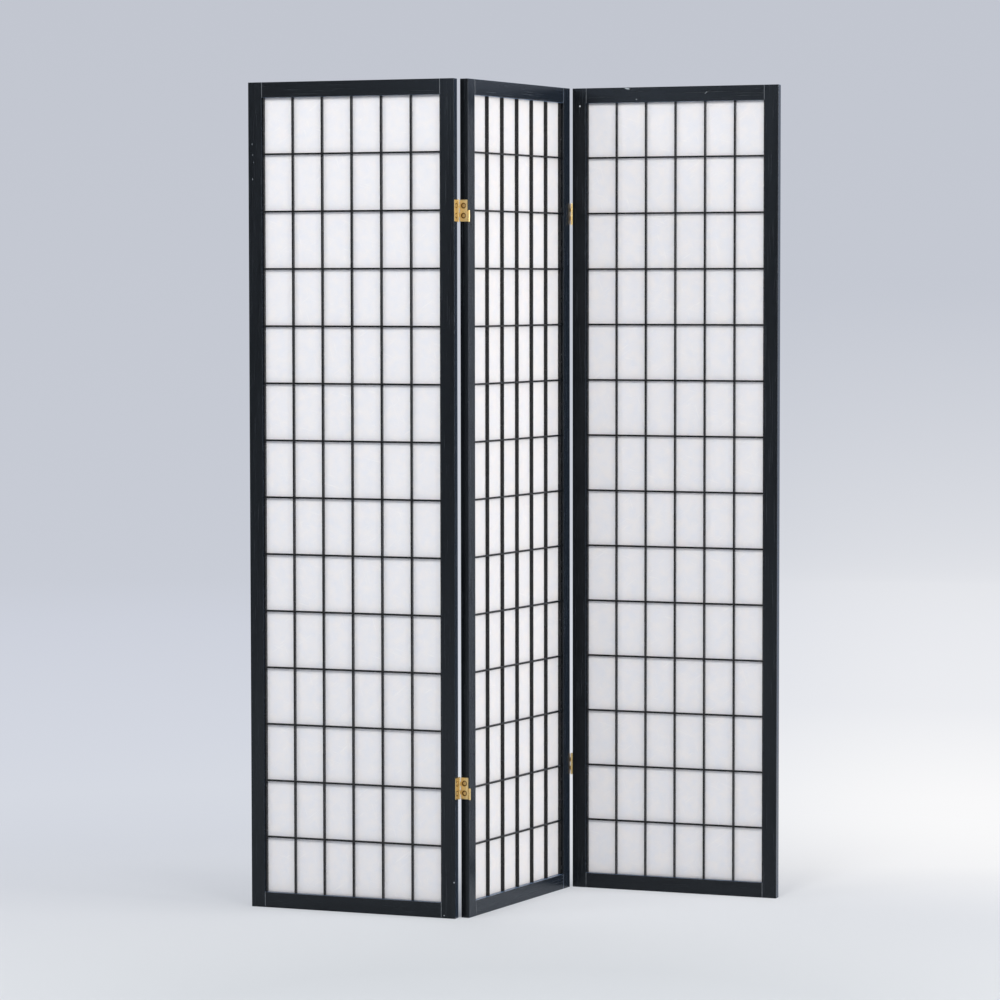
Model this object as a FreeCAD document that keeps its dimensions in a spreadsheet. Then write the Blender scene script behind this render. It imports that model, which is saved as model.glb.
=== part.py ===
"""Three-panel shoji folding screen.

Each panel is a mortised wooden frame that holds a lattice of slats and a sheet of paper behind it.
Neighbouring panels are joined by two double-acting hinges.  Such a hinge is three brass leaves
in the gap between two panels: one on each panel's edge and a link leaf between them.
The link turns on a swing pin at the middle panel and on a fold pin at the side panel.

Axes: X to the right, Y away from the viewer, Z up.  The origin is the centre of the footprint, on the floor.
A panel's own frame starts at its left edge, front face and foot: X across, Y to its back, Z up.
A hinge's own frame starts on the middle panel's edge, at the front face and at half the hinge's height,
with the middle panel on its +X side.
"""
import FreeCAD, Part
import os

import Sketcher

UP = FreeCAD.Vector(0, 0, 1)

# name, size in millimetres, degrees or pieces, and what it measures
DIMENSIONS = (
    ("panel_height", 1784, "height of a panel"),
    ("panel_width", 476, "width of a panel"),
    ("panel_thickness", 19, "thickness of the frame"),
    ("stile_width", 31, "face width of a stile"),
    ("rail_width", 33, "face width of a rail"),
    ("arris_radius", 1, "rounding of the frame's long edges"),
    ("end_bevel", 0.6, "bevel round the ends of a stile"),
    ("tenon_length", 20, "length of a rail's tenon"),
    ("tenon_width", 22, "height of a rail's tenon"),
    ("tenon_thickness", 7, "thickness of a rail's tenon"),
    ("mortise_spare", 0.5, "empty depth past the end of a tenon"),
    ("columns", 6, "cells across a panel"),
    ("rows", 14, "cells up a panel"),
    ("lattice_recess", 4.8, "lattice front behind the frame front"),
    ("upright_width", 3.5, "face width of an upright slat"),
    ("upright_depth", 7.5, "depth of an upright slat"),
    ("upright_tenon", 4, "length let into a rail"),
    ("crossbar_width", 4, "face width of a cross slat"),
    ("crossbar_depth", 4, "depth of a cross slat"),
    ("paper_thickness", 0.5, "thickness of the paper"),
    ("paper_margin", 3.5, "paper held inside the frame's groove"),
    ("groove_depth", 4, "depth of the paper's groove"),
    ("groove_spare", 0.1, "groove wider than the paper, each side"),
    ("middle_turn", 62.4, "turn of the middle panel in plan"),
    ("rest_fold", 83, "turn of a side panel from flat"),
    ("hinge_height", 46, "height of a hinge"),
    ("hinge_inset", 278, "hinge centre from the panel's end"),
    ("leaf_thickness", 1.2, "thickness of a hinge leaf"),
    ("leaf_gap", 0.3, "space between closed leaves"),
    ("leaf_margin", 1, "leaf's free edge from the panel's face"),
    ("leaf_corner", 1.5, "rounding of a leaf's free corners"),
    ("pin_offset", 2.6, "pin axis outside the panel's face"),
    ("barrel_radius", 2.3, "outer radius of a knuckle"),
    ("pin_radius", 1.1, "radius of a hinge pin"),
    ("pin_clearance", 0.05, "running clearance round a pin"),
    ("pin_head_radius", 1.8, "radius of a pin's head"),
    ("pin_head_height", 0.9, "height of a pin's head"),
    ("pin_head_gap", 0.1, "play between knuckle and pin head"),
    ("knuckle_gap", 0.3, "play between two knuckles"),
    ("fold_knuckles", 5, "knuckles on the fold pin"),
    ("swing_knuckles", 3, "knuckles on the swing pin"),
    ("screw_spacing", 21, "distance between a leaf's two screws"),
    ("screw_radius", 1.5, "radius of a screw's shank"),
    ("screw_straight", 13, "straight part of the shank"),
    ("screw_point", 3, "length of the screw's point"),
    ("screw_tip_radius", 0.3, "radius at the very tip"),
    ("screw_head_radius", 3.8, "radius of a screw's head"),
    ("screw_top_radius", 3.1, "radius of the head's flat top"),
    ("screw_head_height", 0.75, "height of a screw's head"),
    ("screw_clearance", 0.1, "hole wider than the shank, each side"),
    ("drive_width", 0.9, "width of the cross recess"),
    ("drive_length", 3.8, "length of the cross recess"),
    ("drive_depth", 0.5, "depth of the cross recess"),
    ("link_hole_radius", 4.8, "hole in the link round a screw's head"),
)

doc = FreeCAD.newDocument("shoji_screen")
sheet = doc.addObject("Spreadsheet::Sheet", "dims")
for row, (name, value, meaning) in enumerate(DIMENSIONS, start=1):
    sheet.set("A%d" % row, meaning)
    sheet.set("B%d" % row, str(value))
    sheet.setAlias("B%d" % row, name)
doc.recompute()

# Formulas that several pieces share, written with the sheet's cells.
CLEAR_WIDTH = "(dims.panel_width - 2 * dims.stile_width)"
CLEAR_HEIGHT = "(dims.panel_height - 2 * dims.rail_width)"
COLUMN_PITCH = "((%s - dims.upright_width) / dims.columns)" % CLEAR_WIDTH
ROW_PITCH = "((%s + dims.crossbar_width) / dims.rows)" % CLEAR_HEIGHT
FIRST_CROSSBAR = "(dims.rail_width + %s - dims.crossbar_width)" % ROW_PITCH
PAPER_FRONT = "(dims.lattice_recess + dims.upright_depth)"
MIDDLE_LEAF_X = "(-dims.leaf_thickness)"
LINK_X = "(-2 * dims.leaf_thickness - dims.leaf_gap)"
SIDE_LEAF_X = "(-3 * dims.leaf_thickness - 2 * dims.leaf_gap)"
SWING_X = "(-dims.leaf_thickness - dims.leaf_gap / 2)"
FOLD_X = "(-2 * dims.leaf_thickness - 3 * dims.leaf_gap / 2)"
SWING_PIN = (SWING_X, "(-dims.pin_offset)")
FOLD_PIN = (FOLD_X, "(dims.panel_thickness + dims.pin_offset)")
HINGE_FOOT = "-dims.hinge_height / 2"
PLATE_DEPTH = "(dims.panel_thickness - 2 * dims.leaf_margin)"
PLATE_INSET = "(dims.leaf_margin + dims.leaf_corner)"
FOLD_KNUCKLE = "((dims.hinge_height - (dims.fold_knuckles - 1) * dims.knuckle_gap) / dims.fold_knuckles)"
SWING_SPAN = "(dims.hinge_height / 2)"
SWING_KNUCKLE = "((%s - (dims.swing_knuckles - 1) * dims.knuckle_gap) / dims.swing_knuckles)" % SWING_SPAN


def size(name):
    """The number in the sheet's cell of that name."""
    return float(sheet.get(name))


def bind(target, prop, formula):
    """Drive a length of an object or a sketch by a formula of the sheet's cells."""
    target.setExpression(prop, "(%s) * 1 mm" % formula)


def origin_feature(body, role):
    """A body's own origin plane or axis."""
    for feature in body.Origin.OriginFeatures:
        if feature.Role == role:
            return feature
    raise ValueError("no origin feature " + role)


def new_body(label):
    body = doc.addObject("PartDesign::Body", label)
    body.Label = label
    return body


def new_sketch(body, plane, offset):
    """A sketch parallel to one of the body's origin planes, moved along the plane's normal."""
    sketch = body.newObject("Sketcher::SketchObject", "sketch")
    sketch.AttachmentSupport = [(origin_feature(body, plane), "")]
    sketch.MapMode = "FlatFace"
    bind(sketch, "AttachmentOffset.Base.z", offset)
    return sketch


def constrain(sketch, kind, first, second, formula):
    """A driving distance between two points of a sketch, each given as (geometry, point)."""
    index = sketch.addConstraint(Sketcher.Constraint(kind, first[0], first[1], second[0], second[1], 1.0))
    bind(sketch, "Constraints[%d]" % index, formula)


def add_rectangle(sketch, left, low, width, height):
    """A rectangle with its corner and both sides driven by formulas."""
    corners = [FreeCAD.Vector(0, 0), FreeCAD.Vector(1, 0), FreeCAD.Vector(1, 1), FreeCAD.Vector(0, 1)]
    first = sketch.GeometryCount
    for side in range(4):
        sketch.addGeometry(Part.LineSegment(corners[side], corners[(side + 1) % 4]), False)
    for side in range(4):
        joint = Sketcher.Constraint("Coincident", first + side, 2, first + (side + 1) % 4, 1)
        sketch.addConstraint(joint)
    for side, kind in enumerate(("Horizontal", "Vertical", "Horizontal", "Vertical")):
        sketch.addConstraint(Sketcher.Constraint(kind, first + side))
    root = (-1, 1)
    constrain(sketch, "DistanceX", root, (first, 1), left)
    constrain(sketch, "DistanceY", root, (first, 1), low)
    constrain(sketch, "DistanceX", (first, 1), (first, 2), width)
    constrain(sketch, "DistanceY", (first + 1, 1), (first + 1, 2), height)


def add_circle(sketch, centre_x, centre_y, radius):
    """A circle with its centre and radius driven by formulas."""
    index = sketch.GeometryCount
    sketch.addGeometry(Part.Circle(FreeCAD.Vector(index, 0, 0), UP, 1), False)
    constrain(sketch, "DistanceX", (-1, 1), (index, 3), centre_x)
    constrain(sketch, "DistanceY", (-1, 1), (index, 3), centre_y)
    radius_index = sketch.addConstraint(Sketcher.Constraint("Radius", index, 1.0))
    bind(sketch, "Constraints[%d]" % radius_index, radius)


def pad(body, sketch, length):
    feature = body.newObject("PartDesign::Pad", "pad")
    feature.Profile = sketch
    bind(feature, "Length", length)
    doc.recompute()
    return feature


def pocket(body, sketch, depth=None, forward=False):
    """Cut along the sketch's normal if forward, else against it; with no depth, cut through all both ways."""
    volume_before = body.Shape.Volume
    feature = body.newObject("PartDesign::Pocket", "pocket")
    feature.Profile = sketch
    feature.Reversed = forward
    if depth is None:
        feature.Type = "ThroughAll"
        feature.Midplane = True
    else:
        bind(feature, "Length", depth)
    doc.recompute()
    if body.Shape.Volume >= volume_before:
        raise RuntimeError(body.Label + ": a pocket cuts nothing")
    return feature


def pattern(body, originals, axis, step, count):
    """Repeat features along one of the body's origin axes."""
    feature = body.newObject("PartDesign::LinearPattern", "pattern")
    feature.Originals = originals
    feature.Direction = (origin_feature(body, axis), [""])
    bind(feature, "Length", "%s * (%s - 1)" % (step, count))
    feature.setExpression("Occurrences", count)
    body.Tip = feature
    doc.recompute()
    return feature


def dress(body, kind, base, edge_test, prop, amount):
    """Round or bevel the edges of a feature that pass the test."""
    names = ["Edge%d" % (i + 1) for i, edge in enumerate(base.Shape.Edges) if edge_test(edge)]
    feature = body.newObject("PartDesign::" + kind, kind.lower())
    feature.Base = (base, names)
    bind(feature, prop, amount)
    doc.recompute()
    return feature


def runs_along(edge, axis):
    """Whether a straight edge is parallel to an axis."""
    span = edge.BoundBox
    lengths = {"X": span.XLength, "Y": span.YLength, "Z": span.ZLength}
    return abs(lengths[axis] - edge.Length) < 1e-6


# ---------------------------------------------------------------- frame of a panel

def make_stile(label, on_left, hinged):
    """A full-height stile: mortises for both rails, a groove for the paper, pilot holes for the hinges."""
    if on_left:
        outer_face, inner_face = "0", "dims.stile_width"
    else:
        outer_face, inner_face = "dims.panel_width", "dims.panel_width - dims.stile_width"
    body = new_body(label)
    section = new_sketch(body, "XY_Plane", "0")
    left = "0" if on_left else inner_face
    add_rectangle(section, left, "0", "dims.stile_width", "dims.panel_thickness")
    blank = pad(body, section, "dims.panel_height")
    rounded = dress(body, "Fillet", blank, lambda e: runs_along(e, "Z"), "Radius", "dims.arris_radius")
    dress(body, "Chamfer", rounded, lambda e: not runs_along(e, "Z"), "Size", "dims.end_bevel")

    mortises = new_sketch(body, "YZ_Plane", inner_face)
    tenon_front = "(dims.panel_thickness - dims.tenon_thickness) / 2"
    tenon_low = "(dims.rail_width - dims.tenon_width) / 2"
    tenon_high = "dims.panel_height - (dims.rail_width + dims.tenon_width) / 2"
    for low in (tenon_low, tenon_high):
        add_rectangle(mortises, tenon_front, low, "dims.tenon_thickness", "dims.tenon_width")
    pocket(body, mortises, "dims.tenon_length + dims.mortise_spare", forward=not on_left)

    groove = new_sketch(body, "YZ_Plane", inner_face)
    add_rectangle(groove, PAPER_FRONT + " - dims.groove_spare", "dims.rail_width - dims.groove_depth",
                  "dims.paper_thickness + 2 * dims.groove_spare", CLEAR_HEIGHT + " + 2 * dims.groove_depth")
    pocket(body, groove, "dims.groove_depth", forward=not on_left)

    if hinged:
        pilots = new_sketch(body, "YZ_Plane", outer_face)
        for side in ("-", "+"):
            height = "dims.hinge_inset %s dims.screw_spacing / 2" % side
            add_circle(pilots, "dims.panel_thickness / 2", height, "dims.screw_radius + dims.screw_clearance")
        holes = pocket(body, pilots, "dims.screw_straight + dims.screw_point", forward=on_left)
        pattern(body, [holes], "Z_Axis", "(dims.panel_height - 2 * dims.hinge_inset)", "2")
    return body


def make_rail(label, on_top):
    """A rail with a tenon at each end, mortises for the upright slats and a groove for the paper."""
    low_edge = "dims.panel_height - dims.rail_width" if on_top else "0"
    inner_edge = "dims.panel_height - dims.rail_width" if on_top else "dims.rail_width"
    body = new_body(label)
    section = new_sketch(body, "XY_Plane", low_edge)
    add_rectangle(section, "dims.stile_width", "0", CLEAR_WIDTH, "dims.panel_thickness")
    blank = pad(body, section, "dims.rail_width")
    dress(body, "Fillet", blank, lambda e: runs_along(e, "X"), "Radius", "dims.arris_radius")

    tenons = new_sketch(body, "XY_Plane", low_edge + " + (dims.rail_width - dims.tenon_width) / 2")
    add_rectangle(tenons, "dims.stile_width - dims.tenon_length",
                  "(dims.panel_thickness - dims.tenon_thickness) / 2",
                  CLEAR_WIDTH + " + 2 * dims.tenon_length", "dims.tenon_thickness")
    pad(body, tenons, "dims.tenon_width")

    seat = new_sketch(body, "XY_Plane", inner_edge)
    add_rectangle(seat, "dims.stile_width", "dims.lattice_recess", "dims.upright_width", "dims.upright_depth")
    first_seat = pocket(body, seat, "dims.upright_tenon", forward=on_top)
    pattern(body, [first_seat], "X_Axis", COLUMN_PITCH, "dims.columns + 1")

    groove = new_sketch(body, "XY_Plane", inner_edge)
    add_rectangle(groove, "dims.stile_width", PAPER_FRONT + " - dims.groove_spare", CLEAR_WIDTH,
                  "dims.paper_thickness + 2 * dims.groove_spare")
    pocket(body, groove, "dims.groove_depth", forward=on_top)
    return body


# ---------------------------------------------------------------- lattice and paper

def make_uprights(label, left, count):
    """Upright slats let into both rails, notched at the front for every cross slat."""
    body = new_body(label)
    section = new_sketch(body, "XY_Plane", "dims.rail_width - dims.upright_tenon")
    add_rectangle(section, left, "dims.lattice_recess", "dims.upright_width", "dims.upright_depth")
    first = pad(body, section, CLEAR_HEIGHT + " + 2 * dims.upright_tenon")
    if count != "1":
        pattern(body, [first], "X_Axis", COLUMN_PITCH, count)
    notch = new_sketch(body, "YZ_Plane", "0")
    add_rectangle(notch, "dims.lattice_recess", FIRST_CROSSBAR, "dims.crossbar_depth", "dims.crossbar_width")
    first_notch = pocket(body, notch)
    pattern(body, [first_notch], "Z_Axis", ROW_PITCH, "dims.rows - 1")
    return body


def make_crossbars(label):
    """Cross slats from stile to stile, lying in the notches of the upright slats."""
    body = new_body(label)
    section = new_sketch(body, "XY_Plane", FIRST_CROSSBAR)
    add_rectangle(section, "dims.stile_width", "dims.lattice_recess", CLEAR_WIDTH, "dims.crossbar_depth")
    first = pad(body, section, "dims.crossbar_width")
    pattern(body, [first], "Z_Axis", ROW_PITCH, "dims.rows - 1")
    return body


def make_paper(label):
    """The sheet behind the lattice, with its margin in the frame's groove."""
    body = new_body(label)
    section = new_sketch(body, "XY_Plane", "dims.rail_width - dims.paper_margin")
    add_rectangle(section, "dims.stile_width - dims.paper_margin", PAPER_FRONT,
                  CLEAR_WIDTH + " + 2 * dims.paper_margin", "dims.paper_thickness")
    pad(body, section, CLEAR_HEIGHT + " + 2 * dims.paper_margin")
    return body


# ---------------------------------------------------------------- hinge leaves, links and pins

def add_plate(body, left, front, depth):
    """A leaf's flat plate, with its free corners rounded, across the whole hinge height."""
    section = new_sketch(body, "XY_Plane", "-dims.hinge_height / 2")
    add_rectangle(section, left, front, "dims.leaf_thickness", depth)
    plate = pad(body, section, "dims.hinge_height")
    dress(body, "Fillet", plate, lambda e: runs_along(e, "X"), "Radius", "dims.leaf_corner")


def add_knuckles(body, left, pin, at_front, foot, knuckle, count):
    """Every other knuckle round a pin from foot up, each with the tongue that joins it to the plate."""
    pin_x, pin_y = pin
    barrel = new_sketch(body, "XY_Plane", foot)
    add_circle(barrel, pin_x, pin_y, "dims.barrel_radius")
    roll = pad(body, barrel, knuckle)
    tongue = new_sketch(body, "XY_Plane", foot)
    tongue_start = pin_y if at_front else "dims.panel_thickness - " + PLATE_INSET
    add_rectangle(tongue, left, tongue_start, "dims.leaf_thickness", "dims.pin_offset + " + PLATE_INSET)
    web = pad(body, tongue, knuckle)
    if count != "1":
        pattern(body, [roll, web], "Z_Axis", "2 * (%s + dims.knuckle_gap)" % knuckle, count)


def add_bore(body, pin):
    """The hole for a pin through every knuckle on it."""
    bore = new_sketch(body, "XY_Plane", "0")
    add_circle(bore, pin[0], pin[1], "dims.pin_radius + dims.pin_clearance")
    pocket(body, bore)


def add_screw_holes(body, radius):
    """Two holes through a leaf, one above the other."""
    holes = new_sketch(body, "YZ_Plane", "0")
    for side in ("-", ""):
        add_circle(holes, "dims.panel_thickness / 2", side + "dims.screw_spacing / 2", radius)
    pocket(body, holes)




def make_middle_leaf(label):
    """The leaf on the middle panel's edge; its knuckles fill the swing pin's ends, on the lower half."""
    body = new_body(label)
    add_plate(body, MIDDLE_LEAF_X, "dims.leaf_margin", PLATE_DEPTH)
    add_knuckles(body, MIDDLE_LEAF_X, SWING_PIN, True, HINGE_FOOT, SWING_KNUCKLE,
                 "(dims.swing_knuckles + 1) / 2")
    add_bore(body, SWING_PIN)
    add_screw_holes(body, "dims.screw_radius + dims.screw_clearance")
    return body


def make_link(label):
    """The leaf between the two others, rolled round both pins, with holes that clear the screw heads."""
    body = new_body(label)
    add_plate(body, LINK_X, "dims.leaf_margin", PLATE_DEPTH)
    swing_foot = "%s + %s + dims.knuckle_gap" % (HINGE_FOOT, SWING_KNUCKLE)
    add_knuckles(body, LINK_X, SWING_PIN, True, swing_foot, SWING_KNUCKLE, "1")
    fold_foot = "%s + %s + dims.knuckle_gap" % (HINGE_FOOT, FOLD_KNUCKLE)
    add_knuckles(body, LINK_X, FOLD_PIN, False, fold_foot, FOLD_KNUCKLE, "(dims.fold_knuckles - 1) / 2")
    add_bore(body, SWING_PIN)
    add_bore(body, FOLD_PIN)
    add_screw_holes(body, "dims.link_hole_radius")
    return body


def make_side_leaf(label):
    """The leaf on a side panel's edge, drawn closed; it has the outer and centre knuckles of the fold pin."""
    body = new_body(label)
    add_plate(body, SIDE_LEAF_X, "dims.leaf_margin", PLATE_DEPTH)
    add_knuckles(body, SIDE_LEAF_X, FOLD_PIN, False, HINGE_FOOT, FOLD_KNUCKLE, "(dims.fold_knuckles + 1) / 2")
    add_bore(body, FOLD_PIN)
    add_screw_holes(body, "dims.screw_radius + dims.screw_clearance")
    return body


def make_pin(label, pin, foot, length):
    """A hinge pin with a head at each end that keeps it in its knuckles."""
    body = new_body(label)
    shaft = new_sketch(body, "XY_Plane", foot + " - dims.pin_head_gap")
    add_circle(shaft, pin[0], pin[1], "dims.pin_radius")
    pad(body, shaft, length + " + 2 * dims.pin_head_gap")
    low_head = "%s - dims.pin_head_gap - dims.pin_head_height" % foot
    high_head = "%s + %s + dims.pin_head_gap" % (foot, length)
    for head_foot in (low_head, high_head):
        disc = new_sketch(body, "XY_Plane", head_foot)
        add_circle(disc, pin[0], pin[1], "dims.pin_head_radius")
        pad(body, disc, "dims.pin_head_height")
    return body


# ---------------------------------------------------------------- screws

def make_screw():
    """One hinge screw along +X: a flat-topped head on the origin, shank, point and cross recess."""
    sideways = FreeCAD.Rotation(FreeCAD.Vector(0, 1, 0), 90)
    head = doc.addObject("Part::Cone", "screw_head")
    bind(head, "Radius1", "dims.screw_top_radius")
    bind(head, "Radius2", "dims.screw_head_radius")
    bind(head, "Height", "dims.screw_head_height")
    head.Placement = FreeCAD.Placement(FreeCAD.Vector(-size("screw_head_height"), 0, 0), sideways)
    shank = doc.addObject("Part::Cylinder", "screw_shank")
    bind(shank, "Radius", "dims.screw_radius")
    bind(shank, "Height", "dims.screw_straight")
    shank.Placement = FreeCAD.Placement(FreeCAD.Vector(0, 0, 0), sideways)
    point = doc.addObject("Part::Cone", "screw_point")
    bind(point, "Radius1", "dims.screw_radius")
    bind(point, "Radius2", "dims.screw_tip_radius")
    bind(point, "Height", "dims.screw_point")
    point.Placement = FreeCAD.Placement(FreeCAD.Vector(size("screw_straight"), 0, 0), sideways)
    solid = doc.addObject("Part::MultiFuse", "screw_solid")
    solid.Shapes = [head, shank, point]

    slots = []
    for turn in (0, 90):
        slot = doc.addObject("Part::Box", "drive_slot")
        bind(slot, "Length", "dims.drive_depth")
        bind(slot, "Width", "dims.drive_width")
        bind(slot, "Height", "dims.drive_length")
        half_width, half_length = size("drive_width") / 2, size("drive_length") / 2
        corner = FreeCAD.Vector(-size("screw_head_height"), -half_width, -half_length)
        spin = FreeCAD.Placement(FreeCAD.Vector(), FreeCAD.Rotation(FreeCAD.Vector(1, 0, 0), turn))
        slot.Placement = spin * FreeCAD.Placement(corner, FreeCAD.Rotation())
        slots.append(slot)
    cross = doc.addObject("Part::MultiFuse", "drive_cross")
    cross.Shapes = slots
    screw = doc.addObject("Part::Cut", "screw")
    screw.Base = solid
    screw.Tool = cross
    doc.recompute()
    return screw


def make_screw_group(label, screw, seats):
    """Copies of the screw, one solid at each seat."""
    group = doc.addObject("Part::Feature", label)
    group.Label = label
    copies = []
    for seat in seats:
        copy = screw.Shape.copy()
        copy.Placement = seat
        copies.append(copy)
    group.Shape = Part.makeCompound(copies)
    return group


# ---------------------------------------------------------------- where everything stands

def shift(x, y, z):
    return FreeCAD.Placement(FreeCAD.Vector(x, y, z), FreeCAD.Rotation())


def turn_about(point, degrees):
    """A turn about the upright line through a point."""
    spin = FreeCAD.Placement(FreeCAD.Vector(), FreeCAD.Rotation(UP, degrees))
    return shift(point.x, point.y, 0) * spin * shift(-point.x, -point.y, 0)


def lay_out():
    """Places of the panels, hinge lines, side leaves and pins, with the footprint centred on the origin."""
    width, thickness = size("panel_width"), size("panel_thickness")
    leaf, gap, offset = size("leaf_thickness"), size("leaf_gap"), size("pin_offset")
    stack = 3 * leaf + 2 * gap
    middle = FreeCAD.Placement(FreeCAD.Vector(), FreeCAD.Rotation(UP, size("middle_turn")))
    half_turn = FreeCAD.Placement(FreeCAD.Vector(width, thickness, 0), FreeCAD.Rotation(UP, 180))
    hinge_lines = {"left": middle, "right": middle * half_turn}
    flat = {"left": middle * shift(-stack - width, 0, 0), "right": middle * shift(width + stack, 0, 0)}

    swing_point = FreeCAD.Vector(-leaf - gap / 2, -offset, 0)
    fold_point = FreeCAD.Vector(-2 * leaf - 3 * gap / 2, thickness + offset, 0)
    panels = {"middle": middle}
    folds, pins = {}, {}
    for side, line in hinge_lines.items():
        pins[side + "_swing"] = line * swing_point
        pins[side + "_fold"] = line * fold_point
        folds[side] = turn_about(pins[side + "_fold"], -size("rest_fold"))
        panels[side] = folds[side] * flat[side]

    box = FreeCAD.BoundBox()
    for panel in panels.values():
        for x in (0, width):
            for y in (0, thickness):
                box.add(panel * FreeCAD.Vector(x, y, 0))
    centre = shift(-box.Center.x, -box.Center.y, 0)
    return {
        "panels": {name: centre * place for name, place in panels.items()},
        "hinge_lines": {side: centre * line for side, line in hinge_lines.items()},
        "side_leaves": {side: centre * folds[side] * line for side, line in hinge_lines.items()},
        "pins": {name: centre * point for name, point in pins.items()},
    }


def build_panel(name, place, hinged_left, hinged_right):
    """All wooden pieces and the paper of one panel."""
    prefix = name + "_panel_"
    last_upright = "dims.panel_width - dims.stile_width - dims.upright_width"
    pieces = [
        make_stile(prefix + "left_stile", True, hinged_left),
        make_stile(prefix + "right_stile", False, hinged_right),
        make_rail(prefix + "top_rail", True),
        make_rail(prefix + "bottom_rail", False),
        make_uprights(prefix + "left_edge_slat", "dims.stile_width", "1"),
        make_uprights(prefix + "right_edge_slat", last_upright, "1"),
        make_uprights(prefix + "upright_slats", "dims.stile_width + " + COLUMN_PITCH, "dims.columns - 1"),
        make_crossbars(prefix + "cross_slats"),
        make_paper(prefix + "paper"),
    ]
    for piece in pieces:
        piece.Placement = place
    return pieces


def build_hinge(side, level, height, layout):
    """The three leaves and two pins of one hinge, at one height of one hinge line."""
    prefix = "%s_%s_hinge_" % (side, level)
    still = layout["hinge_lines"][side] * shift(0, 0, height)
    folded = layout["side_leaves"][side] * shift(0, 0, height)
    middle_leaf = make_middle_leaf(prefix + "middle_leaf")
    link = make_link(prefix + "link")
    swing_pin = make_pin(prefix + "swing_pin", SWING_PIN, HINGE_FOOT, SWING_SPAN)
    side_leaf = make_side_leaf(prefix + "side_leaf")
    fold_pin = make_pin(prefix + "fold_pin", FOLD_PIN, HINGE_FOOT, "dims.hinge_height")
    for piece in (middle_leaf, link, swing_pin):
        piece.Placement = still
    for piece in (side_leaf, fold_pin):
        piece.Placement = folded
    return [middle_leaf, link, swing_pin, side_leaf, fold_pin]


def build_screws(layout, hinge_heights):
    """The hinge screws of each panel, two to a leaf."""
    screw = make_screw()
    leaf, gap = size("leaf_thickness"), size("leaf_gap")
    mid_depth, spacing = size("panel_thickness") / 2, size("screw_spacing")
    into_side = FreeCAD.Placement(FreeCAD.Vector(-2 * leaf - 2 * gap, 0, 0), FreeCAD.Rotation(UP, 180))
    seats = {"left": [], "middle": [], "right": []}
    for side, line in layout["hinge_lines"].items():
        for height in hinge_heights.values():
            for rise in (-spacing / 2, spacing / 2):
                level = shift(0, mid_depth, height + rise)
                seats["middle"].append(line * level * shift(-leaf, 0, 0))
                seats[side].append(layout["side_leaves"][side] * level * into_side)
    return [make_screw_group(name + "_panel_hinge_screws", screw, places) for name, places in seats.items()]


def check(pieces):
    """Stop if any object failed or any piece is not a sound shape."""
    for item in doc.Objects:
        if "Invalid" in item.State or "Error" in item.State:
            raise RuntimeError("failed object: " + item.Label)
    for piece in pieces:
        if piece.Shape.isNull() or not piece.Shape.isValid() or not piece.Shape.Solids:
            raise RuntimeError("bad shape: " + piece.Label)


def main():
    layout = lay_out()
    pieces = []
    pieces += build_panel("left", layout["panels"]["left"], False, True)
    pieces += build_panel("middle", layout["panels"]["middle"], True, True)
    pieces += build_panel("right", layout["panels"]["right"], True, False)
    hinge_heights = {
        "lower": size("hinge_inset"),
        "upper": size("panel_height") - size("hinge_inset"),
    }
    for side in ("left", "right"):
        for level, height in hinge_heights.items():
            pieces += build_hinge(side, level, height, layout)
    pieces += build_screws(layout, hinge_heights)
    doc.recompute()
    check(pieces)

    os.makedirs("parts", exist_ok=True)
    for piece in pieces:
        piece.Shape.exportStep("parts/" + piece.Label + ".step")
    for name, point in layout["pins"].items():
        print("%s pin at %.4f, %.4f mm" % (name, point.x, point.y))
    print(len(pieces), "pieces written")
    return pieces, layout


pieces, layout = main()
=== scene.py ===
"""Looks of a three-panel shoji folding screen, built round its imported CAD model.

The sections follow the screen as it is put together: frames, lattice, paper, hinges, pins and
screws, and then the studio that it stands in.  Metres; X right, Y away from the viewer, Z up.
"""

import bpy
import numpy as np
from mathutils import Matrix, Vector


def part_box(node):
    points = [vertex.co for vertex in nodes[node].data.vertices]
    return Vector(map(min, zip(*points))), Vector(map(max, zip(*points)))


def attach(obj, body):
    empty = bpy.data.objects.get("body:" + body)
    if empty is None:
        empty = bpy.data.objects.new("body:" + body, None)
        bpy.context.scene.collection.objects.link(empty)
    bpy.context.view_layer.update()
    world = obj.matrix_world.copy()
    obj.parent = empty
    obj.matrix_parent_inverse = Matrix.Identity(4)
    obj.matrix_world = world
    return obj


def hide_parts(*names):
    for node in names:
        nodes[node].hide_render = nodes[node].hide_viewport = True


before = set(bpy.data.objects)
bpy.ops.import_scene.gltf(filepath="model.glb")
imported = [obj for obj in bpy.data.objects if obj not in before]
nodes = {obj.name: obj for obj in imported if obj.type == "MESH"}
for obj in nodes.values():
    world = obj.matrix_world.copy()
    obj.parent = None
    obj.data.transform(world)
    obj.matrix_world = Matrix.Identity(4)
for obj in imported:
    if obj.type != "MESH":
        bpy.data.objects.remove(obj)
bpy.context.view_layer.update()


# ---- Frames ------------------------------------------------------------------------------------
# Two stiles and two rails a panel, planed softwood, mortised and glued square.  Sprayed satin
# black: pores and growth rings telegraph through, the arrises are drawn paler, worn paint with a
# painted highlight, and grazing light turns it slate grey.
TURNS = {"left": np.radians(-20.6), "middle": np.radians(62.4), "right": np.radians(-20.6)}
STILE_FACE, RAIL_FACE, FRAME_DEPTH = 0.031, 0.033, 0.019

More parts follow.
